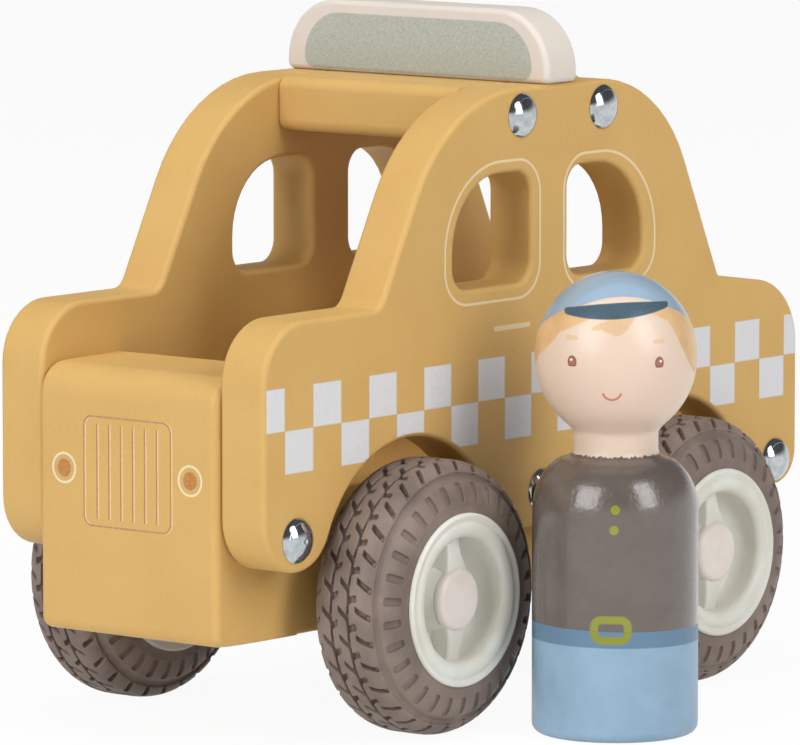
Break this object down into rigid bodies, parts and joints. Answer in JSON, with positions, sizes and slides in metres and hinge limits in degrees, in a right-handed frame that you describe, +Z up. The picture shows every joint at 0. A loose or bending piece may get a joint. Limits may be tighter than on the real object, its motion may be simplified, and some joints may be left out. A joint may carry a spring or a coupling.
{
  "type": "toy taxi",
  "caption": "Wooden toy taxi: painted side panels screwed to blocks, an open cab, a roof sign, rubber-tyred wheels on turning axles and a loose peg driver.",
  "frame": {"origin": "on the ground below the middle of the side panels, on the car's middle plane", "axes": "+X to the front of the car, +Y to its left side, +Z up"},
  "size_m": [0.1742, 0.1283, 0.138],
  "materials": {
    "ochre_paint": "satin paint on wood",
    "cream_paint": "satin paint on wood",
    "bare_wood": "bare wood",
    "bright_chrome": "bright chrome",
    "zinc_steel": "zinc plate",
    "tyre_rubber": "matt moulded rubber",
    "rim_plastic": "satin moulded plastic",
    "driver_paint": "gloss paint on turned wood"
  },
  "bodies": {
    "car": {"left_side_panel": "ochre_paint", "right_side_panel": "ochre_paint", "nose_block": "ochre_paint", "tail_block": "ochre_paint", "chassis_block": "ochre_paint", "roof_plank": "ochre_paint", "roof_sign": "cream_paint", "sign_dowels": "bare_wood", "left_screws": "zinc_steel", "right_screws": "zinc_steel", "left_screw_caps": "bright_chrome", "right_screw_caps": "bright_chrome"},
    "front_wheels": {"front_axle": "zinc_steel", "front_washers": "zinc_steel", "front_left_tyre": "tyre_rubber", "front_right_tyre": "tyre_rubber", "front_left_rim": "rim_plastic", "front_right_rim": "rim_plastic", "front_left_hub_cap": "rim_plastic", "front_right_hub_cap": "rim_plastic"},
    "rear_wheels": {"rear_axle": "zinc_steel", "rear_washers": "zinc_steel", "rear_left_tyre": "tyre_rubber", "rear_right_tyre": "tyre_rubber", "rear_left_rim": "rim_plastic", "rear_right_rim": "rim_plastic", "rear_left_hub_cap": "rim_plastic", "rear_right_hub_cap": "rim_plastic"},
    "driver": {"driver_peg": "driver_paint"}
  },
  "joints": [
    {"name": "front_axle_spin", "type": "hinge", "parent": "car", "child": "front_wheels", "pos_m": [0.041, 0, 0.0269], "axis": [0, 1, 0], "continuous": true},
    {"name": "rear_axle_spin", "type": "hinge", "parent": "car", "child": "rear_wheels", "pos_m": [-0.04279, 0, 0.0269], "axis": [0, 1, 0], "continuous": true},
    {"name": "driver_lift", "type": "slide", "parent": "car", "child": "driver", "axis": [0, 0, 1], "range_m": [0, 0.15]}
  ]
}
